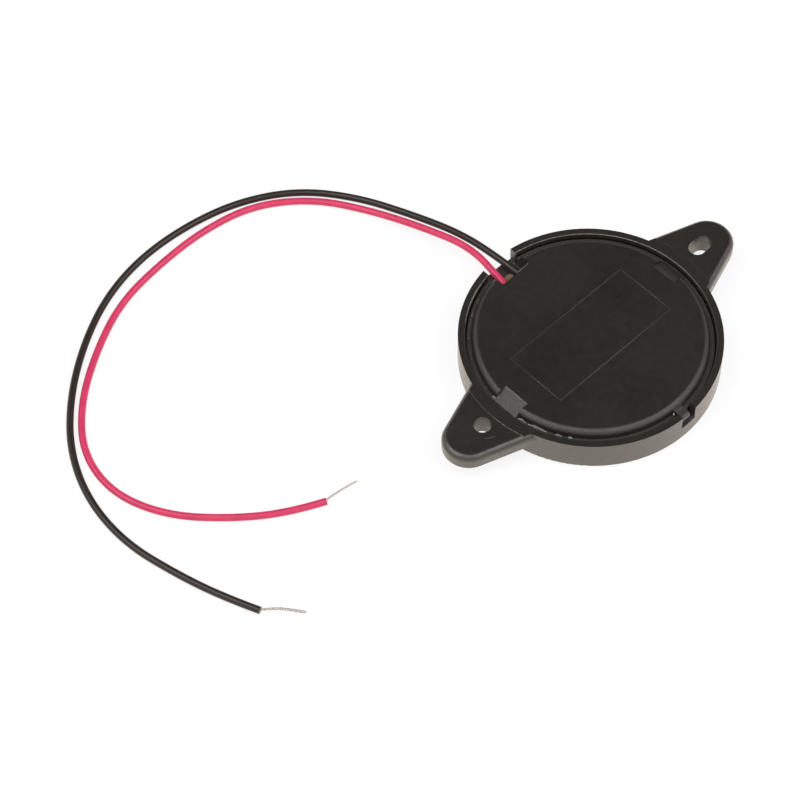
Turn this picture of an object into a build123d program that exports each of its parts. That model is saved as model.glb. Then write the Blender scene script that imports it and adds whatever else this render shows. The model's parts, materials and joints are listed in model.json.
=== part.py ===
from build123d import *

import math
import os

# Externally driven piezo buzzer: a round moulded case with two fixing ears, a back cover snapped
# into its rim, a bonded piezo diaphragm inside, and two free leads with bare tinned ends.
# Millimetres. +Z is up (the back cover), the sound face lies on z = 0, +X points to the slotted
# ear, +Y to the gap where the leads come out. The origin is the centre of the sound face.

# ---- housing -------------------------------------------------------------------------------
body_radius = 21.25
rim_height = 5.8
rim_wall = 1.2
face_thickness = 1.2
foot_edge_radius = 0.4
rim_inner_edge_radius = 0.2
rim_pad_edge_radius = 0.1
port_diameter = 3.6                 # sound hole in the middle of the face

hole_diameter = 2.85
hole_setback = 3.15                 # round hole's middle from the wall
slot_length = 4.25
slot_setback = 4.35                 # slot's middle from the wall
ear_tip_radius = 4.3
ear_reach = 10.45                   # tip from the wall
ear_flank_angle = 19.2              # each flank against the line through the ears
ear_step = 0.13                     # the ear lies this far below the rim
ear_thickness = 2.55
ear_top_edge_radius = 1.0
ear_root_radius = 1.2
rim_pad = 1.0                       # the rim is this much wider where it crosses an ear
rim_pad_inset = 0.55                # from the ear's flanks, inside its rounded edge
boss_wall = 1.5                     # round each fixing hole, under the ear
boss_depth = 1.4

sill_height = 3.0                   # bottom of the lead gap and the key notch, and the cover's seat
lead_gap_width = 6.25
lead_gap_offset = -0.17
key_notch_width = 2.95
key_notch_offset = 0.28

# ---- diaphragm -----------------------------------------------------------------------------
plate_diameter = 35.0
plate_thickness = 0.3
plate_clearance = 0.3               # between the plate's edge and its recess
ledge_width = 1.3                   # what the plate's edge lies on
ledge_height = 2.0
ceramic_margin = 5.0                # plate's edge to the ceramic's
ceramic_thickness = 0.25
electrode_margin = 0.75
electrode_thickness = 0.05
sealant_width = 0.6                 # over the plate's edge
sealant_height = 0.5
bond_gap = 0.02                     # left between two round faces that are glued

# ---- back cover ----------------------------------------------------------------------------
cover_rise = 0.4                    # cover's top above the rim
cover_plate = 1.2
cover_shelf = 0.75                  # flange that shows outside the plateau
plateau_edge_radius = 1.2
flange_thickness = 1.75
cover_clearance = 0.2               # cover's flange in the rim
lug_width = 4.75                    # the two sloped catches, in line with the ears
lug_start = 2.3                     # where its slope begins, inside the plateau's wall
lug_end_clearance = 0.35            # inside the flange's edge
lug_end_height = 0.2                # over the flange
cover_notch_width = 6.2
cover_notch_offset = -0.15
cover_notch_depth = 2.5             # into the plateau from its wall
cover_notch_corner = 0.45
key_width = 1.6
key_side_clearance = 0.1
key_end_clearance = 0.12            # key's end inside the wall's outer face
key_thickness = 1.0
key_step = 0.05                     # key's top below the rim
key_end_radius = 0.4
key_root_drop = 0.4                 # step where the key leaves the plateau
key_root_width = 2.1
key_root_clearance = 0.4            # its end inside the flange's edge
frame_length = 25.4                 # engraved frame on the cover
frame_width = 11.3
frame_line = 0.22
frame_depth = 0.08

# ---- leads ---------------------------------------------------------------------------------
lead_diameter = 1.2
strand_diameter = 0.5               # bundle of tinned strands
joint_radius = 1.1
joint_height = 0.9
floor_height = lead_diameter / 2 + 0.05     # lead's axis where it lies on the table

red_route = [
    (-2.3, 12.5, 3.8),
    (-1.9, 18.5, 4.4),
    (-0.6, 26.5, 4.3),
    (-2.5, 36.0, 2.5),
    (-5.5, 45.5, 0.9),
    (-10.5, 54.0, floor_height),
    (-18.5, 60.0, floor_height),
    (-28.0, 62.0, floor_height),
    (-38.0, 61.8, floor_height),
    (-47.5, 60.4, floor_height),
    (-56.5, 56.0, floor_height),
    (-65.0, 50.0, floor_height),
    (-71.0, 42.5, floor_height),
    (-72.5, 33.5, floor_height),
    (-69.0, 24.5, floor_height),
    (-62.0, 17.0, floor_height),
    (-55.0, 11.7, floor_height),
    (-49.5, 9.2, floor_height),
]
black_route = [
    (1.5, 15.5, 3.9),
    (1.0, 21.5, 4.5),
    (0.5, 30.0, 3.7),
    (-1.5, 39.5, 1.7),
    (-5.0, 49.0, 0.75),
    (-11.0, 57.0, floor_height),
    (-19.5, 62.2, floor_height),
    (-29.0, 64.6, floor_height),
    (-39.0, 65.0, floor_height),
    (-48.5, 62.9, floor_height),
    (-57.5, 58.2, floor_height),
    (-65.5, 52.0, floor_height),
    (-72.0, 44.5, floor_height),
    (-76.0, 35.5, floor_height),
    (-77.0, 25.5, floor_height),
    (-75.0, 15.8, floor_height),
    (-72.5, 7.6, floor_height),
    (-70.1, 2.0, floor_height),
]
arc_share = 0.45                    # of the shorter run beside a corner, taken up by its arc
tip_straight = 1.5                  # bare strands leave the insulation straight on for this far
root_straight = 0.7
red_tip_end = (-43.4, 8.5, floor_height)
black_tip_end = (-65.4, -3.0, floor_height)
red_joint_x = -2.3
red_joint_setback = 3.1             # inside the ceramic's edge
black_joint_x = 1.7
black_joint_setback = 3.0           # inside the sealant's inner edge
joint_bulge_out = 0.62              # a point on the joint's side, as shares of its radius
joint_bulge_up = 0.72               # and of its height

# ---- adhesive ------------------------------------------------------------------------------
adhesive_left = -2.5
adhesive_right = 0.55
adhesive_inset = 0.35               # its near side from the notch's inner edge
adhesive_length = 1.65
adhesive_height = 1.15
adhesive_corner_radius = 0.5
adhesive_top_radius = 0.35

# ---- worked out ----------------------------------------------------------------------------
rim_inner_radius = body_radius - rim_wall
rim_pad_radius = body_radius + rim_pad
ear_tip_centre = body_radius + ear_reach - ear_tip_radius
ear_top = rim_height - ear_step
ear_underside = ear_top - ear_thickness
boss_end = ear_underside - boss_depth
hole_x = -body_radius - hole_setback
slot_x = body_radius + slot_setback
plate_radius = plate_diameter / 2
recess_radius = plate_radius + plate_clearance
cavity_radius = plate_radius - ledge_width
plate_top = ledge_height + plate_thickness
ceramic_top = plate_top + ceramic_thickness
electrode_top = ceramic_top + electrode_thickness
ceramic_radius = plate_radius - ceramic_margin
sealant_inner = plate_radius - sealant_width
flange_radius = rim_inner_radius - cover_clearance
flange_top = sill_height + flange_thickness
cover_height = rim_height + cover_rise
plateau_radius = flange_radius - cover_shelf
skirt_inner_radius = plateau_radius - cover_plate
notch_edge = plateau_radius - cover_notch_depth
lug_inner = plateau_radius - lug_start
lug_outer = flange_radius - lug_end_clearance
key_top = rim_height - key_step
key_reach = body_radius - key_end_clearance
key_centre = key_notch_offset - key_notch_width / 2 + key_side_clearance + key_width / 2
through = 2 * rim_height            # long enough to cut through anything here

os.makedirs("parts", exist_ok=True)


# ---- housing -------------------------------------------------------------------------------
def flank(side, end):
    """Corners of one half of an ear, from the tip circle's tangent back into the wall."""
    slope = math.radians(ear_flank_angle)
    tangent_x = ear_tip_centre + ear_tip_radius * math.sin(slope)
    tangent_y = ear_tip_radius * math.cos(slope)
    root_x = body_radius / 2
    root_y = tangent_y + (tangent_x - root_x) * math.tan(slope)
    return [(end * tangent_x, side * tangent_y), (end * root_x, side * root_y)]


with BuildSketch(Plane.XY.offset(ear_underside)) as outline:
    Circle(body_radius)
    for end in (-1, 1):
        with Locations((end * ear_tip_centre, 0)):
            Circle(ear_tip_radius)
        upper = flank(1, end)
        lower = flank(-1, end)
        with BuildLine():
            Polyline(*upper, *reversed(lower), close=True)
        make_face()
    roots = outline.vertices().filter_by(
        lambda v: abs(math.hypot(v.X, v.Y) - body_radius) < 0.01 and abs(v.X) > body_radius / 2
    )
    fillet(roots, ear_root_radius)

with BuildPart() as housing:
    add(outline.sketch)
    extrude(amount=ear_thickness)
    ear_edges = housing.edges().filter_by_position(Axis.Z, ear_top - 0.01, ear_top + 0.01)
    fillet(
        ear_edges.filter_by(lambda e: abs(e.center().X) > rim_pad_radius - 1.0),
        ear_top_edge_radius,
    )
    with BuildSketch(Plane.XY):
        Circle(body_radius)
    extrude(amount=rim_height)
    with BuildSketch(Plane.XY.offset(ear_underside)):
        offset(outline.sketch.moved(Location((0, 0, -ear_underside))), amount=-rim_pad_inset)
        Circle(rim_pad_radius, mode=Mode.INTERSECT)
    extrude(amount=rim_height - ear_underside)
    with BuildSketch(Plane.XY.offset(boss_end)):
        boss_width = hole_diameter + 2 * boss_wall
        for centre, length in ((hole_x, boss_width), (slot_x, slot_length + 2 * boss_wall)):
            outer_end = abs(centre) + length / 2
            with Locations((math.copysign(outer_end - boss_width / 2, centre), 0)):
                Circle(boss_width / 2)
            web = outer_end - boss_width / 2 - rim_inner_radius
            with Locations((math.copysign(rim_inner_radius + web / 2, centre), 0)):
                Rectangle(web, boss_width)
    extrude(amount=boss_depth + ear_thickness / 2)
    fillet(
        housing.faces().sort_by(Axis.Z)[0].outer_wire().edges(),
        foot_edge_radius,
    )
    # cover recess, diaphragm recess and the air space in front of the diaphragm
    for floor, radius in (
        (sill_height, rim_inner_radius),
        (ledge_height, recess_radius),
        (face_thickness, cavity_radius),
    ):
        with BuildSketch(Plane.XY.offset(floor)):
            Circle(radius)
        extrude(amount=through, mode=Mode.SUBTRACT)
    rim_edge = housing.edges().filter_by(GeomType.CIRCLE).filter_by_position(
        Axis.Z, rim_height - 0.01, rim_height + 0.01
    )
    fillet(
        rim_edge.filter_by(lambda e: abs(e.radius - rim_inner_radius) < 0.01),
        rim_inner_edge_radius,
    )
    pad_edges = housing.edges().filter_by(GeomType.CIRCLE).filter_by_position(
        Axis.Z, rim_height - 0.01, rim_height + 0.01
    )
    fillet(
        pad_edges.filter_by(lambda e: abs(e.radius - rim_pad_radius) < 0.01),
        rim_pad_edge_radius,
    )
    # lead gap and key notch through the rim
    with BuildSketch(Plane.XY.offset(sill_height)):
        with Locations((lead_gap_offset, body_radius)):
            Rectangle(lead_gap_width, 4 * rim_wall)
        with Locations((key_notch_offset, -body_radius)):
            Rectangle(key_notch_width, 4 * rim_wall)
    extrude(amount=through, mode=Mode.SUBTRACT)
    # fixing hole, fixing slot and sound hole
    with BuildSketch(Plane.XY):
        with Locations((hole_x, 0)):
            Circle(hole_diameter / 2)
        with Locations((slot_x, 0)):
            SlotOverall(slot_length, hole_diameter)
        Circle(port_diameter / 2)
    extrude(amount=through, mode=Mode.SUBTRACT)
housing.part.label = "housing"

# ---- diaphragm -----------------------------------------------------------------------------
with BuildPart() as diaphragm_plate:
    with BuildSketch(Plane.XY.offset(ledge_height)):
        Circle(plate_radius)
    extrude(amount=plate_thickness)
diaphragm_plate.part.label = "diaphragm_plate"

with BuildPart() as piezo_ceramic:
    with BuildSketch(Plane.XY.offset(plate_top)):
        Circle(ceramic_radius)
    extrude(amount=ceramic_thickness)
piezo_ceramic.part.label = "piezo_ceramic"

with BuildPart() as silver_electrode:
    with BuildSketch(Plane.XY.offset(ceramic_top)):
        Circle(ceramic_radius - electrode_margin)
    extrude(amount=electrode_thickness)
silver_electrode.part.label = "silver_electrode"

with BuildPart() as diaphragm_sealant:
    sealant_outer = recess_radius - bond_gap
    edge = plate_radius + bond_gap
    with BuildSketch(Plane.XZ):
        with BuildLine():
            Polyline(
                (sealant_inner, plate_top),
                (edge, plate_top),
                (edge, ledge_height),
                (sealant_outer, ledge_height),
                (sealant_outer, plate_top + sealant_height),
            )
            RadiusArc(
                (sealant_outer, plate_top + sealant_height),
                (sealant_inner, plate_top),
                sealant_width * 2,
            )
        make_face()
    revolve(axis=Axis.Z)
diaphragm_sealant.part.label = "diaphragm_sealant"

# ---- back cover ----------------------------------------------------------------------------
with BuildPart() as back_cover:
    with BuildSketch(Plane.XY.offset(sill_height)):
        Circle(flange_radius)
    extrude(amount=flange_thickness)
    with BuildSketch(Plane.XY.offset(sill_height)):
        Circle(plateau_radius)
    extrude(amount=cover_height - sill_height)
    fillet(back_cover.faces().sort_by(Axis.Z)[-1].edges(), plateau_edge_radius)
    # sloped catches: cut into the plateau's edge and carried out over the flange
    lug_end = flange_top + lug_end_height
    slope = (cover_height - lug_end) / (lug_outer - lug_inner)
    for side in (-1, 1):
        with BuildSketch(Plane.XZ.offset(-lug_width / 2)):
            with BuildLine():
                Polyline(
                    (side * lug_inner, cover_height),
                    (side * lug_outer, lug_end),
                    (side * lug_outer, flange_top - cover_plate / 2),
                    (side * lug_inner, flange_top - cover_plate / 2),
                    close=True,
                )
            make_face()
        extrude(amount=lug_width)
        with BuildSketch(Plane.XZ.offset(-lug_width / 2)):
            with BuildLine():
                Polyline(
                    (side * lug_inner, cover_height),
                    (side * flange_radius, cover_height - slope * (flange_radius - lug_inner)),
                    (side * flange_radius, cover_height + 1),
                    (side * lug_inner, cover_height + 1),
                    close=True,
                )
            make_face()
        extrude(amount=lug_width, mode=Mode.SUBTRACT)
    # key, lying in the rim's notch, with a lower root where it leaves the plateau
    key_bottom = key_top - key_thickness
    key_root_end = flange_radius - key_root_clearance
    for reach, top, width, bottom in (
        (key_reach, key_top, key_width, key_bottom),
        (key_root_end, key_top - key_root_drop, key_root_width, sill_height),
    ):
        start = skirt_inner_radius
        with BuildSketch(Plane.XY.offset(bottom)):
            with Locations((key_centre, -(start + reach) / 2)):
                Rectangle(width, reach - start)
        extrude(amount=top - bottom)
    fillet(
        back_cover.edges().filter_by(Axis.X).filter_by_position(
            Axis.Y, -key_reach - 0.01, -key_reach + 0.01
        ).sort_by(Axis.Z)[-1],
        key_end_radius,
    )
    # hollow underside
    with BuildSketch(Plane.XY.offset(sill_height)):
        Circle(skirt_inner_radius)
    extrude(amount=cover_height - cover_plate - sill_height, mode=Mode.SUBTRACT)
    # notch for the leads
    with BuildSketch(Plane.XY.offset(sill_height)):
        notch_length = 2 * (flange_radius - notch_edge)
        with Locations((cover_notch_offset, notch_edge + notch_length / 2)):
            RectangleRounded(cover_notch_width, notch_length, cover_notch_corner)
    extrude(amount=through, mode=Mode.SUBTRACT)
    # engraved frame
    with BuildSketch(Plane.XY.offset(cover_height)):
        Rectangle(frame_length, frame_width)
        Rectangle(frame_length - 2 * frame_line, frame_width - 2 * frame_line, mode=Mode.SUBTRACT)
    extrude(amount=-frame_depth, mode=Mode.SUBTRACT)
back_cover.part.label = "back_cover"


# ---- leads ---------------------------------------------------------------------------------
def corner_radii(points):
    """Largest arc that the two runs at each corner leave room for."""
    radii = []
    for before, corner, after in zip(points, points[1:], points[2:]):
        run_in = Vector(corner) - Vector(before)
        run_out = Vector(after) - Vector(corner)
        shorter = min(run_in.length, run_out.length)
        radii.append(arc_share * shorter / math.tan(math.radians(run_in.get_angle(run_out)) / 2))
    return radii


def section_plane(points):
    """Plane across the route at its first point."""
    return Plane(origin=points[0], z_dir=Vector(points[1]) - Vector(points[0]))


with BuildPart() as red_lead:
    with BuildLine():
        FilletPolyline(*red_route, radius=corner_radii(red_route))
    with BuildSketch(section_plane(red_route)):
        Circle(lead_diameter / 2)
    sweep()
red_lead.part.label = "red_lead"

with BuildPart() as black_lead:
    with BuildLine():
        FilletPolyline(*black_route, radius=corner_radii(black_route))
    with BuildSketch(section_plane(black_route)):
        Circle(lead_diameter / 2)
    sweep()
black_lead.part.label = "black_lead"


def tip_route(route, tip_end):
    """Bare end past the insulation: straight on from the lead's end, then to the tip."""
    end = Vector(route[-1])
    ahead = (end - Vector(route[-2])).normalized()
    return [tuple(end), tuple(end + ahead * tip_straight), tip_end]


def joint_route(route, joint, surface):
    """Bare end inside the case: straight on, then down into the solder joint."""
    end = Vector(route[0])
    ahead = (end - Vector(route[1])).normalized()
    foot = Vector(joint[0], joint[1], surface + joint_height / 2)
    return [tuple(end), tuple(end + ahead * root_straight), tuple(foot)]


red_joint = (red_joint_x, ceramic_radius - red_joint_setback)
black_joint = (black_joint_x, sealant_inner - black_joint_setback)
red_tip_route = tip_route(red_route, red_tip_end)
black_tip_route = tip_route(black_route, black_tip_end)
red_joint_route = joint_route(red_route, red_joint, electrode_top)
black_joint_route = joint_route(black_route, black_joint, plate_top)

with BuildPart() as red_lead_tip:
    with BuildLine():
        FilletPolyline(*red_tip_route, radius=corner_radii(red_tip_route))
    with BuildSketch(section_plane(red_tip_route)):
        Circle(strand_diameter / 2)
    sweep()
red_lead_tip.part.label = "red_lead_tip"

with BuildPart() as black_lead_tip:
    with BuildLine():
        FilletPolyline(*black_tip_route, radius=corner_radii(black_tip_route))
    with BuildSketch(section_plane(black_tip_route)):
        Circle(strand_diameter / 2)
    sweep()
black_lead_tip.part.label = "black_lead_tip"

with BuildPart() as red_lead_root:
    with BuildLine():
        FilletPolyline(*red_joint_route, radius=corner_radii(red_joint_route))
    with BuildSketch(section_plane(red_joint_route)):
        Circle(strand_diameter / 2)
    sweep()
red_lead_root.part.label = "red_lead_root"

with BuildPart() as black_lead_root:
    with BuildLine():
        FilletPolyline(*black_joint_route, radius=corner_radii(black_joint_route))
    with BuildSketch(section_plane(black_joint_route)):
        Circle(strand_diameter / 2)
    sweep()
black_lead_root.part.label = "black_lead_root"


# ---- solder joints -------------------------------------------------------------------------
def dome_profile(radius, height):
    """Half outline of a low dome, in the XZ plane, from its middle to its rim."""
    with BuildLine() as profile:
        Line((0, 0), (radius, 0))
        side = (radius * joint_bulge_out, height * joint_bulge_up)
        ThreePointArc((radius, 0), side, (0, height))
        Line((0, height), (0, 0))
    return profile.line


with BuildPart() as red_solder:
    with BuildSketch(Plane((*red_joint, electrode_top), x_dir=(1, 0, 0), z_dir=(0, -1, 0))):
        add(dome_profile(joint_radius, joint_height))
        make_face()
    revolve(axis=Axis((*red_joint, 0), (0, 0, 1)))
    add(red_lead_root.part, mode=Mode.SUBTRACT)
red_solder.part.label = "red_solder"

with BuildPart() as black_solder:
    with BuildSketch(Plane((*black_joint, plate_top), x_dir=(1, 0, 0), z_dir=(0, -1, 0))):
        add(dome_profile(joint_radius, joint_height))
        make_face()
    revolve(axis=Axis((*black_joint, 0), (0, 0, 1)))
    add(black_lead_root.part, mode=Mode.SUBTRACT)
black_solder.part.label = "black_solder"

# ---- adhesive that holds the leads in the cover's notch ---------------------------------------
with BuildPart() as lead_adhesive:
    adhesive_width = adhesive_right - adhesive_left
    adhesive_y = notch_edge + adhesive_inset + adhesive_length / 2
    with BuildSketch(Plane.XY.offset(sill_height)):
        with Locations((adhesive_left + adhesive_width / 2, adhesive_y)):
            RectangleRounded(adhesive_width, adhesive_length, adhesive_corner_radius)
    extrude(amount=adhesive_height)
    fillet(lead_adhesive.faces().sort_by(Axis.Z)[-1].edges(), adhesive_top_radius)
    add(red_lead.part, mode=Mode.SUBTRACT)
    add(black_lead.part, mode=Mode.SUBTRACT)
lead_adhesive.part.label = "lead_adhesive"

pieces = [
    housing,
    back_cover,
    diaphragm_plate,
    piezo_ceramic,
    silver_electrode,
    diaphragm_sealant,
    red_lead,
    black_lead,
    red_lead_tip,
    black_lead_tip,
    red_lead_root,
    black_lead_root,
    red_solder,
    black_solder,
    lead_adhesive,
]
for piece in pieces:
    export_step(piece.part, f"parts/{piece.part.label}.step")

for name, route in (("red lead", red_route), ("black lead", black_route)):
    print(name, "arc radii", [round(radius, 1) for radius in corner_radii(route)])
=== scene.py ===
import math
import random

import bmesh
import bpy
from mathutils import Matrix, Vector

import json


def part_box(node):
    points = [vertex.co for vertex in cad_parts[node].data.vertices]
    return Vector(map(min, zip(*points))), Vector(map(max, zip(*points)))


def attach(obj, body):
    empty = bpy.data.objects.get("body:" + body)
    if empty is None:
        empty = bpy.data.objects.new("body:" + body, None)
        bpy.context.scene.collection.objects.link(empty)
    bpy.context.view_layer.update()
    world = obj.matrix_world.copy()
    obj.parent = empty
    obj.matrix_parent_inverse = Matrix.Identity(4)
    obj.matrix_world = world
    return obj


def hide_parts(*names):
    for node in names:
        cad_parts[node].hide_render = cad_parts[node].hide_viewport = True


# A piezo buzzer on a white table: black moulded case and cover, red and black leads with bare
# ends. Metres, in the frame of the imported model: +Z up, ears along X, leads leaving along +Y.

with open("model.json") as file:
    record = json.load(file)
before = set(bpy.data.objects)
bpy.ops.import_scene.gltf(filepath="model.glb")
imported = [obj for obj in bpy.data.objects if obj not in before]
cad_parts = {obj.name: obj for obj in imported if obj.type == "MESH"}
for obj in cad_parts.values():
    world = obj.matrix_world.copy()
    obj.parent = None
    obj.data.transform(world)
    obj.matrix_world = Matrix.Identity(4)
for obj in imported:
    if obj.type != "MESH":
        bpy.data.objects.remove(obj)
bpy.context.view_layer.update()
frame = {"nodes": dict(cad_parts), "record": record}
nodes = frame["nodes"]
scene = bpy.context.scene
scene.view_settings.view_transform = "Standard"

MM = 0.001
LEAD_DIAMETER = 1.2 * MM
LEAD_REST = 0.65                    # mm, axis of a lead that lies on the table

# Camera: where it stands, and which way it looks, turned about +Z from +Y and down from level.
CAMERA_AT = (-207.8 * MM, -177.3 * MM, 396.3 * MM)
CAMERA_TURN = math.radians(-43.085)
CAMERA_DOWN = math.radians(56.38)
CAMERA_ROLL = math.radians(1.036)
CAMERA_LENS = 134.0                 # mm on a 36 mm sensor


# ---- small helpers ---------------------------------------------------------------------------
def new_object(name, data):
    obj = bpy.data.objects.new(name, data)
    scene.collection.objects.link(obj)
    return obj


def mesh_object(name, bm, smooth=True):
    mesh = bpy.data.meshes.new(name)
    bm.to_mesh(mesh)
    bm.free()
    if smooth:
        mesh.shade_smooth()
    return new_object(name, mesh)


def material(name, **inputs):
    """A Principled material, and its nodes, links and shader."""
    mat = bpy.data.materials.new(name)
    mat.use_nodes = True
    tree = mat.node_tree
    shader = tree.nodes["Principled BSDF"]
    for key, value in inputs.items():
        shader.inputs[key.replace("_", " ")].default_value = value
    return mat, tree, shader


def node(tree, kind, **inputs):
    made = tree.nodes.new(kind)
    for key, value in inputs.items():
        made.inputs[key.replace("_", " ")].default_value = value
    return made


def object_noise(tree, scale, detail=2.0, roughness=0.5):
    """Noise in the object's own coordinates, scale in features a metre."""
    place = tree.nodes.new("ShaderNodeTexCoord")
    noise = node(tree, "ShaderNodeTexNoise", Scale=scale, Detail=detail, Roughness=roughness)
    tree.links.new(place.outputs["Object"], noise.inputs["Vector"])
    return noise.outputs["Fac"]


def ramp(tree, value, stops):
    made = tree.nodes.new("ShaderNodeValToRGB")
    elements = made.color_ramp.elements
    while len(elements) < len(stops):
        elements.new(0.5)
    for element, (position, colour) in zip(elements, stops):
        element.position = position
        element.color = (*colour, 1.0) if len(colour) == 3 else colour
    tree.links.new(value, made.inputs["Fac"])
    return made.outputs["Color"]


def grey(level):
    return (level, level, level)


def spread(tree, value, low, high):
    """value from 0..1 to low..high."""
    made = tree.nodes.new("ShaderNodeMapRange")
    made.inputs["To Min"].default_value = low
    made.inputs["To Max"].default_value = high
    tree.links.new(value, made.inputs["Value"])
    return made.outputs["Result"]


def bump(tree, shader, height, strength, distance, under=None):
    made = node(tree, "ShaderNodeBump", Strength=strength, Distance=distance)
    tree.links.new(height, made.inputs["Height"])
    if under is not None:
        tree.links.new(under, made.inputs["Normal"])
    tree.links.new(made.outputs["Normal"], shader.inputs["Normal"])
    return made.outputs["Normal"]


# ---- materials -------------------------------------------------------------------------------
def black_plastic(name, colour, roughness, grain, smooth_above=None, coat=0.3):
    """Moulded ABS: polished skin over spark-eroded grain, faint flow marks, an uneven sheen.

    The grain is strongest below smooth_above (mm), where the mould wasn't polished.
    """
    mat, tree, shader = material(name, Metallic=0.0, IOR=1.8)
    shader.inputs["Specular Tint"].default_value = (1.0, 0.92, 0.84, 1.0)
    shader.inputs["Coat Weight"].default_value = coat
    shader.inputs["Coat Roughness"].default_value = 0.2
    shader.inputs["Coat IOR"].default_value = 1.5
    flow = object_noise(tree, 70.0, 4.0)
    dark = tuple(c * 0.8 for c in colour)
    light = tuple(c * 1.25 for c in colour)
    tree.links.new(ramp(tree, flow, [(0.35, dark), (0.65, light)]), shader.inputs["Base Color"])
    sheen = object_noise(tree, 900.0, 4.0)
    gloss = spread(tree, sheen, roughness - 0.08, roughness + 0.08)
    tree.links.new(gloss, shader.inputs["Roughness"])
    pits = object_noise(tree, 4200.0, 3.0, 0.7)
    broad = bump(tree, shader, object_noise(tree, 350.0, 2.0), 0.1, 0.05 * MM)
    fine = bump(tree, shader, pits, grain, 0.1 * MM, broad)
    if smooth_above is not None:
        place = tree.nodes.new("ShaderNodeTexCoord")
        split = tree.nodes.new("ShaderNodeSeparateXYZ")
        tree.links.new(place.outputs["Object"], split.inputs[0])
        rough = tree.nodes.new("ShaderNodeMapRange")
        rough.inputs["From Min"].default_value = (smooth_above - 0.08) * MM
        rough.inputs["From Max"].default_value = smooth_above * MM
        tree.links.new(split.outputs["Z"], rough.inputs["Value"])
        polished = rough.outputs["Result"]
        tree.links.new(spread(tree, polished, grain, 0.06), fine.node.inputs["Strength"])
        dull = tree.nodes.new("ShaderNodeMath")
        dull.operation = "ADD"
        tree.links.new(gloss, dull.inputs[0])
        tree.links.new(spread(tree, polished, 0.14, 0.0), dull.inputs[1])
        tree.links.new(dull.outputs[0], shader.inputs["Roughness"])
    tree.links.new(fine, shader.inputs["Coat Normal"])
    return mat


def plain_metal(name, colour, roughness, scale):
    mat, tree, shader = material(name, Metallic=1.0)
    tone = object_noise(tree, scale, 3.0)
    tree.links.new(
        ramp(tree, tone, [(0.3, tuple(c * 0.8 for c in colour)), (0.7, colour)]),
        shader.inputs["Base Color"],
    )
    tree.links.new(spread(tree, tone, roughness - 0.08, roughness + 0.1), shader.inputs["Roughness"])
    bump(tree, shader, object_noise(tree, scale * 4, 3.0), 0.2, 0.02 * MM)
    return mat


def soft_plastic(name, colour, roughness, scale):
    """PVC insulation: satin, with a faint ripple from extrusion."""
    mat, tree, shader = material(name, Metallic=0.0, IOR=1.5)
    tone = object_noise(tree, scale, 2.0)
    tree.links.new(
        ramp(tree, tone, [(0.3, tuple(c * 0.85 for c in colour)), (0.7, colour)]),
        shader.inputs["Base Color"],
    )
    tree.links.new(spread(tree, tone, roughness - 0.05, roughness + 0.08), shader.inputs["Roughness"])
    bump(tree, shader, object_noise(tree, scale * 6, 2.0), 0.15, 0.02 * MM)
    return mat


PLASTIC = (0.0175, 0.0150, 0.0125)
looks = {
    "black_plastic": black_plastic("black_plastic", PLASTIC, 0.33, 0.35),
    "brass": plain_metal("brass", (0.72, 0.52, 0.24), 0.3, 400.0),
    "ceramic": soft_plastic("ceramic", (0.68, 0.64, 0.56), 0.6, 500.0),
    "silver": plain_metal("silver", (0.78, 0.77, 0.75), 0.5, 900.0),
    "sealant": soft_plastic("sealant", (0.7, 0.69, 0.66), 0.35, 300.0),
    "red_insulation": soft_plastic("red_insulation", (0.92, 0.06, 0.175), 0.28, 500.0),
    "black_insulation": soft_plastic("black_insulation", (0.036, 0.027, 0.021), 0.28, 500.0),
    "tinned_copper": plain_metal("tinned_copper", (0.78, 0.75, 0.70), 0.34, 2500.0),
    "solder": plain_metal("solder", (0.66, 0.66, 0.66), 0.28, 1500.0),
    "adhesive": soft_plastic("adhesive", (0.27, 0.17, 0.10), 0.3, 1500.0),
}
looks["housing_plastic"] = black_plastic("housing_plastic", PLASTIC, 0.33, 0.55, 5.66, coat=1.0)
looks["cover_plastic"] = black_plastic("cover_plastic", PLASTIC, 0.33, 0.8, 6.19)
own_look = {"housing": "housing_plastic", "back_cover": "cover_plastic"}
slots = {part["node"]: part["material_slot"] for part in frame["record"]["subparts"]}
for name, obj in nodes.items():
    obj.data.materials.clear()
    obj.data.materials.append(looks[own_look.get(name, slots[name])])


# ---- camera ----------------------------------------------------------------------------------
def place_camera():
    turn, down, roll = CAMERA_TURN, CAMERA_DOWN, CAMERA_ROLL
    ahead = Vector(
        (-math.sin(turn) * math.cos(down), math.cos(turn) * math.cos(down), -math.sin(down))
    )
    right = Vector((math.cos(turn), math.sin(turn), 0.0))
    below = ahead.cross(right)
    x_axis = right * math.cos(roll) + below * math.sin(roll)
    y_axis = right * math.sin(roll) - below * math.cos(roll)
    camera = new_object("camera", bpy.data.cameras.new("camera"))
    camera.matrix_world = Matrix.Translation(CAMERA_AT) @ Matrix(
        (x_axis, y_axis, -ahead)
    ).transposed().to_4x4()
    camera.data.lens = CAMERA_LENS
    camera.data.sensor_width = 36.0
    camera.data.clip_start = 0.01
    camera.data.clip_end = 10.0
    scene.camera = camera


place_camera()

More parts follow.
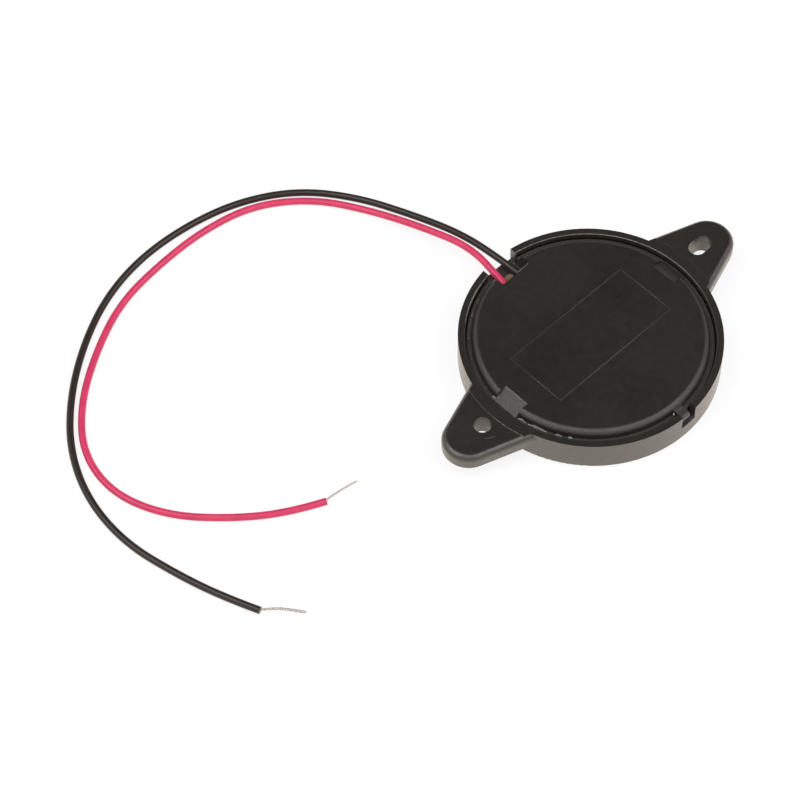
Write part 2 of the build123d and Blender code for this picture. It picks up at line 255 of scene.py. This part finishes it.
# ---- leads -----------------------------------------------------------------------------------
RED_ROUTE = [
    (-2.3, 12.5, 3.8),
    (-1.9, 18.5, 4.4),
    (-0.6, 26.5, 4.3),
    (-2.5, 36.0, 2.5),
    (-5.5, 45.5, 0.9),
    (-10.5, 54.0, LEAD_REST),
    (-18.5, 60.0, LEAD_REST),
    (-28.0, 62.0, LEAD_REST),
    (-38.0, 61.8, LEAD_REST),
    (-47.5, 60.4, LEAD_REST),
    (-56.5, 56.0, LEAD_REST),
    (-65.0, 50.0, LEAD_REST),
    (-71.0, 42.5, LEAD_REST),
    (-72.5, 33.5, LEAD_REST),
    (-69.0, 24.5, LEAD_REST),
    (-62.0, 17.0, LEAD_REST),
    (-55.0, 11.7, LEAD_REST),
    (-49.5, 9.2, LEAD_REST),
]
BLACK_ROUTE = [
    (1.5, 15.5, 3.9),
    (1.0, 21.5, 4.5),
    (0.5, 30.0, 3.7),
    (-1.5, 39.5, 1.7),
    (-5.0, 49.0, 0.75),
    (-11.0, 57.0, LEAD_REST),
    (-19.5, 62.2, LEAD_REST),
    (-29.0, 64.6, LEAD_REST),
    (-39.0, 65.0, LEAD_REST),
    (-48.5, 62.9, LEAD_REST),
    (-57.5, 58.2, LEAD_REST),
    (-65.5, 52.0, LEAD_REST),
    (-72.0, 44.5, LEAD_REST),
    (-76.0, 35.5, LEAD_REST),
    (-77.0, 25.5, LEAD_REST),
    (-75.0, 15.8, LEAD_REST),
    (-72.5, 7.6, LEAD_REST),
    (-70.1, 2.0, LEAD_REST),
]


def spline_object(name, points, diameter):
    """Round rod along a smooth NURBS line; points in mm."""
    curve = bpy.data.curves.new(name, "CURVE")
    curve.dimensions = "3D"
    spline = curve.splines.new("NURBS")
    spline.points.add(len(points) - 1)
    for place, point in zip(spline.points, points):
        place.co = (*(c * MM for c in point), 1.0)
    spline.order_u = 3
    spline.use_endpoint_u = True
    spline.resolution_u = 12
    curve.bevel_depth = diameter / 2
    curve.bevel_resolution = 6
    curve.use_fill_caps = True
    return new_object(name, curve)


def points_along(points, steps):
    """Evenly numbered points, in metres, on the smooth line through a list of mm points."""
    guide = spline_object("guide", points, 0.0)
    guide.data.use_fill_caps = False
    guide.data.splines[0].resolution_u = steps
    bpy.context.view_layer.update()
    seen = guide.evaluated_get(bpy.context.evaluated_depsgraph_get())
    mesh = bpy.data.meshes.new_from_object(seen)
    line = [vertex.co.copy() for vertex in mesh.vertices]
    data = guide.data
    bpy.data.objects.remove(guide)
    bpy.data.curves.remove(data)
    bpy.data.meshes.remove(mesh)
    return line


def make_strands(name, points, groups, each, pitch, gauge, spread_start, spread_end, seed):
    """Bare tinned strands along the points: groups of them, twisted round each other."""
    rng = random.Random(seed)
    line = points_along(points, 24)
    run = [0.0]
    for before, after in zip(line, line[1:]):
        run.append(run[-1] + (after - before).length)
    curve = bpy.data.curves.new(name, "CURVE")
    curve.dimensions = "3D"
    curve.bevel_depth = gauge / 2
    curve.bevel_resolution = 3
    curve.use_fill_caps = True
    for k in range(groups * each):
        phase = 2 * math.pi * (k // each) / groups + 0.6 * (k % each) + rng.uniform(-0.15, 0.15)
        reach = rng.uniform(0.93, 1.0)
        sway = rng.uniform(-0.3, 0.3)
        path = []
        for i, here in enumerate(line):
            if run[i] > reach * run[-1]:
                break
            ahead = (line[min(i + 1, len(line) - 1)] - line[max(i - 1, 0)]).normalized()
            side = ahead.cross(Vector((0, 0, 1))).normalized()
            up = side.cross(ahead)
            share = run[i] / run[-1]
            turn = phase + 2 * math.pi * run[i] / pitch + sway * math.sin(9 * share + k)
            out = spread_start + (spread_end - spread_start) * share
            path.append(here + side * math.cos(turn) * out + up * math.sin(turn) * out)
        spline = curve.splines.new("POLY")
        spline.points.add(len(path) - 1)
        for place, point in zip(spline.points, path):
            place.co = (*point, 1.0)
    strands = new_object(name, curve)
    strands.data.materials.append(looks["tinned_copper"])
    return strands


def make_lead(colour, route, strands):
    lead = spline_object(f"{colour}_insulation", route, LEAD_DIAMETER)
    lead.data.materials.append(looks[f"{colour}_insulation"])
    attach(lead, "root")
    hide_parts(f"{colour}_lead")
    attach(strands, "root")
    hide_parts(f"{colour}_lead_tip")
    return lead


RED_TIP = [
    (-49.9, 9.4, 0.68),
    (-48.6, 9.25, 0.8),
    (-47.0, 9.1, 0.8),
    (-45.2, 8.85, 0.75),
    (-43.35, 8.5, 0.7),
]
BLACK_TIP = [
    (-70.3, 2.4, LEAD_REST),
    (-69.2, 1.35, 0.78),
    (-67.9, 0.2, 0.85),
    (-66.6, -1.35, 0.75),
    (-65.1, -3.25, 0.5),
]
red_strands = make_strands(
    "red_strands", RED_TIP, 7, 1, 2.6 * MM, 0.12 * MM, 0.13 * MM, 0.08 * MM, 3
)
black_strands = make_strands(
    "black_strands", BLACK_TIP, 2, 3, 1.6 * MM, 0.12 * MM, 0.14 * MM, 0.19 * MM, 8
)
red_lead = make_lead("red", RED_ROUTE, red_strands)
black_lead = make_lead("black", BLACK_ROUTE, black_strands)

# ---- moulding flash, burrs, marks --------------------------------------------------------------
cover_low, cover_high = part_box("back_cover")
COVER_TOP = cover_high[2] / MM
FLANGE_RADIUS = cover_high[0] / MM
SILL_HEIGHT = cover_low[2] / MM
COVER_SHELF = 0.75
FLANGE_THICKNESS = 1.75
NOTCH_EDGE = FLANGE_RADIUS - COVER_SHELF - 2.5
NOTCH_RIGHT = 2.95
FRAME_LENGTH = 25.4
FRAME_WIDTH = 11.3
FRAME_LINE = 0.22

# Pale plastic. On the flash slivers and the key's torn corner its near-white colour is a painted
# glint; on the nick in the cover it is wear.
looks["glint_and_wear_plastic"] = black_plastic("glint_and_wear_plastic", (0.75, 0.72, 0.66), 0.5, 0.3)
# Lighter plastic. On the ear scratch it is wear; on the groove burrs, notch burrs and the key's
# witness line its lighter colour is a painted highlight.
looks["scuff_and_highlight_plastic"] = black_plastic("scuff_and_highlight_plastic", (0.13, 0.12, 0.10), 0.4, 0.3)
# Plastic a little lighter than the case, for the frame lips: a painted highlight along the engraved
# frame.
looks["lip_highlight_plastic"] = black_plastic("lip_highlight_plastic", (0.05, 0.045, 0.038), 0.35, 0.2)


def own(piece, look):
    piece.data.materials.append(looks[look])
    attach(piece, "root")


def ragged_ridge(name, path, base, heights, width, look, seed):
    """A torn sliver of plastic standing on a line of (x, y) points in mm."""
    rng = random.Random(seed)
    bm = bmesh.new()
    rings = []
    for i, (x, y) in enumerate(path):
        ahead = Vector(path[min(i + 1, len(path) - 1)]) - Vector(path[max(i - 1, 0)])
        across = Vector((-ahead.y, ahead.x)).normalized() * width / 2
        ends = min(1.0, 3.0 * min(i, len(path) - 1 - i) / len(path) + 0.15)
        top = base + ends * rng.uniform(*heights)
        lean = rng.uniform(-0.5, 0.5)
        foot = [(x + across.x, y + across.y, base), (x - across.x, y - across.y, base)]
        crest = (x + across.x * lean, y + across.y * lean, top)
        rings.append([bm.verts.new(Vector(p) * MM) for p in (foot[0], crest, foot[1])])
    for one, two in zip(rings, rings[1:]):
        for j in range(3):
            bm.faces.new((one[j], two[j], two[(j + 1) % 3], one[(j + 1) % 3]))
    bm.faces.new(reversed(rings[0]))
    bm.faces.new(rings[-1])
    bmesh.ops.recalc_face_normals(bm, faces=bm.faces)
    own(mesh_object(name, bm, smooth=False), look)


def arc_points(radius, start, end, step=0.6):
    count = max(3, int(abs(end - start) / step))
    angles = [math.radians(start + (end - start) * i / count) for i in range(count + 1)]
    return [(radius * math.cos(a), radius * math.sin(a)) for a in angles]


def make_flash():
    """Slivers torn loose where the cover was pressed into the rim, coloured near-white as painted
    glints, and burrs in the groove coloured lighter than the case as painted highlight.
    """
    shelf_top = SILL_HEIGHT + FLANGE_THICKNESS
    middle = FLANGE_RADIUS - COVER_SHELF / 2
    foot = FLANGE_RADIUS - 0.8 * COVER_SHELF
    for i, (start, end) in enumerate(
        [(170.5, 173.5), (188.0, 192.5), (193.5, 203.0), (207.5, 210.5), (213.5, 215.5)]
    ):
        ragged_ridge(
            f"flash_{i}",
            arc_points(foot, start, end),
            shelf_top - 0.01,
            (0.3, 0.62),
            0.16,
            "glint_and_wear_plastic",
            20 + i,
        )
    for i, (start, end) in enumerate([(112.0, 123.0), (124.0, 136.0)]):
        ragged_ridge(
            f"groove_burr_{i}",
            arc_points(middle, start, end, 0.4),
            shelf_top - 0.01,
            (0.08, 0.3),
            0.3,
            "scuff_and_highlight_plastic",
            40 + i,
        )


def make_notch_burr():
    """Rough lip along the cover's notch, where it was trimmed; its lighter colour is a painted
    highlight along the edge.
    """
    steps = 26
    for i, (inset, low, width) in enumerate([(0.12, 0.3, 0.24), (0.3, 0.5, 0.3)]):
        bend = 0.45 - inset
        along = [
            (0.6 + (NOTCH_RIGHT - 1.05) * k / steps, NOTCH_EDGE + inset) for k in range(steps)
        ]
        corner = [
            (NOTCH_RIGHT - 0.45 + bend * math.sin(t), NOTCH_EDGE + 0.45 - bend * math.cos(t))
            for t in (math.pi / 2 * k / 8 for k in range(9))
        ]
        ragged_ridge(
            f"notch_burr_{i}",
            along + corner,
            COVER_TOP - low,
            (0.35 * low, low - 0.01),
            width,
            "scuff_and_highlight_plastic",
            61 + i,
        )


def make_frame_lips():
    """Raised burr along both sides of the engraved frame, inside its groove, coloured lighter than
    the case as a painted highlight on the frame's edges.
    """
    lip = 0.045
    curve = bpy.data.curves.new("frame_lips", "CURVE")
    curve.dimensions = "3D"
    curve.bevel_depth = lip * MM
    curve.bevel_resolution = 3
    for inset in (lip, FRAME_LINE - lip):
        half_x = FRAME_LENGTH / 2 - inset
        half_y = FRAME_WIDTH / 2 - inset
        spline = curve.splines.new("POLY")
        spline.points.add(3)
        spline.use_cyclic_u = True
        for place, (x, y) in zip(spline.points, ((-1, -1), (1, -1), (1, 1), (-1, 1))):
            place.co = (x * half_x * MM, y * half_y * MM, (COVER_TOP - lip) * MM, 1.0)
    own(new_object("frame_lips", curve), "lip_highlight_plastic")


def make_scratch():
    """A short scratch on the ear with the round hole, and a nick in the cover."""
    ear_top = 5.67
    path = [(-26.3 + 1.9 * t, -1.85 - 1.05 * t - 0.1 * math.sin(3 * t)) for t in
            (i / 10 for i in range(11))]
    ragged_ridge("ear_scratch", path, ear_top - 0.01, (0.025, 0.04), 0.09, "scuff_and_highlight_plastic", 71)
    ragged_ridge(
        "cover_nick", [(2.75, -14.7), (2.85, -14.76), (2.97, -14.8)],
        COVER_TOP - 0.02, (0.015, 0.02), 0.2, "glint_and_wear_plastic", 72,
    )


def make_key_marks():
    """Witness line and a torn corner where the key leaves the cover, coloured light: a painted
    highlight line along the key's root and a painted glint at its corner.
    """
    key_top = 5.75
    ragged_ridge(
        "key_line", [(-1.05 + 0.17 * i, -19.62) for i in range(10)],
        key_top - 0.01, (0.03, 0.06), 0.12, "scuff_and_highlight_plastic", 81,
    )
    ragged_ridge(
        "key_corner", [(-1.5, -19.5), (-1.36, -19.46), (-1.22, -19.5)],
        5.3, (0.35, 0.5), 0.25, "glint_and_wear_plastic", 82,
    )


make_flash()
make_key_marks()
make_notch_burr()
make_frame_lips()
make_scratch()

# ---- table and light ---------------------------------------------------------------------------
def make_table():
    """White table that shows as white, and still takes the object's shadow."""
    bm = bmesh.new()
    bmesh.ops.create_grid(bm, x_segments=1, y_segments=1, size=2.0)
    table = mesh_object("table", bm, smooth=False)
    table.location = (0, 0, -0.02 * MM)
    mat = bpy.data.materials.new("table")
    mat.use_nodes = True
    tree = mat.node_tree
    tree.nodes.clear()
    out = tree.nodes.new("ShaderNodeOutputMaterial")
    lit = node(tree, "ShaderNodeBsdfDiffuse", Color=(0.22, 0.22, 0.22, 1.0))
    glow = node(tree, "ShaderNodeEmission", Strength=0.84)
    seen = tree.nodes.new("ShaderNodeAddShader")
    plain = node(tree, "ShaderNodeBsdfDiffuse", Color=(0.85, 0.85, 0.85, 1.0))
    ray = tree.nodes.new("ShaderNodeLightPath")
    warm_to_white = [(0.0, (1.0, 0.91, 0.82)), (1.0, (1.0, 1.0, 1.0))]
    tree.links.new(ramp(tree, ray.outputs["Is Camera Ray"], warm_to_white), glow.inputs["Color"])
    either = tree.nodes.new("ShaderNodeMath")
    either.operation = "MAXIMUM"
    tree.links.new(ray.outputs["Is Camera Ray"], either.inputs[0])
    tree.links.new(ray.outputs["Is Glossy Ray"], either.inputs[1])
    mix = tree.nodes.new("ShaderNodeMixShader")
    tree.links.new(either.outputs[0], mix.inputs[0])
    tree.links.new(plain.outputs[0], mix.inputs[1])
    tree.links.new(lit.outputs[0], seen.inputs[0])
    tree.links.new(glow.outputs[0], seen.inputs[1])
    tree.links.new(seen.outputs[0], mix.inputs[2])
    tree.links.new(mix.outputs[0], out.inputs["Surface"])
    table.data.materials.append(mat)


def area_lamp(name, at, toward, size, power, colour=(1.0, 1.0, 1.0)):
    lamp = bpy.data.lights.new(name, "AREA")
    lamp.shape = "SQUARE"
    lamp.size = size
    lamp.energy = power
    lamp.color = colour
    obj = new_object(name, lamp)
    obj.location = at
    obj.rotation_euler = (Vector(toward) - Vector(at)).to_track_quat("-Z", "Y").to_euler()


make_table()
area_lamp("left_softbox", (-0.40, 0.27, 0.88), (0, 0.01, 0), 0.75, 3.4)
area_lamp("right_softbox", (0.30, -0.47, 0.83), (0, 0.01, 0), 0.75, 3.2)

# Mirror direction of the camera in a level surface: the studio's dark, open side.
OPEN_SIDE = (0.455, 0.385, 0.803)


def make_world():
    """Dim walls, a pale ceiling, and the studio's dark open side above the far right."""
    world = bpy.data.worlds.new("world")
    scene.world = world
    world.use_nodes = True
    tree = world.node_tree
    back = tree.nodes["Background"]
    place = tree.nodes.new("ShaderNodeTexCoord")
    toward = tree.nodes.new("ShaderNodeVectorMath")
    toward.operation = "DOT_PRODUCT"
    toward.inputs[1].default_value = OPEN_SIDE
    tree.links.new(place.outputs["Generated"], toward.inputs[0])
    split = tree.nodes.new("ShaderNodeSeparateXYZ")
    tree.links.new(place.outputs["Generated"], split.inputs[0])
    room = ramp(
        tree,
        split.outputs["Z"],
        [(0.0, grey(0.8)), (0.16, grey(0.3)), (0.65, grey(0.6)), (1.0, grey(0.7))],
    )
    opening = ramp(
        tree,
        toward.outputs["Value"],
        [(0.45, grey(1.0)), (0.76, grey(0.7)), (0.87, grey(0.12)), (1.0, grey(0.07))],
    )
    both = tree.nodes.new("ShaderNodeVectorMath")
    both.operation = "MULTIPLY"
    tree.links.new(room, both.inputs[0])
    tree.links.new(opening, both.inputs[1])
    tree.links.new(both.outputs["Vector"], back.inputs["Color"])
    back.inputs["Strength"].default_value = 1.0


make_world()
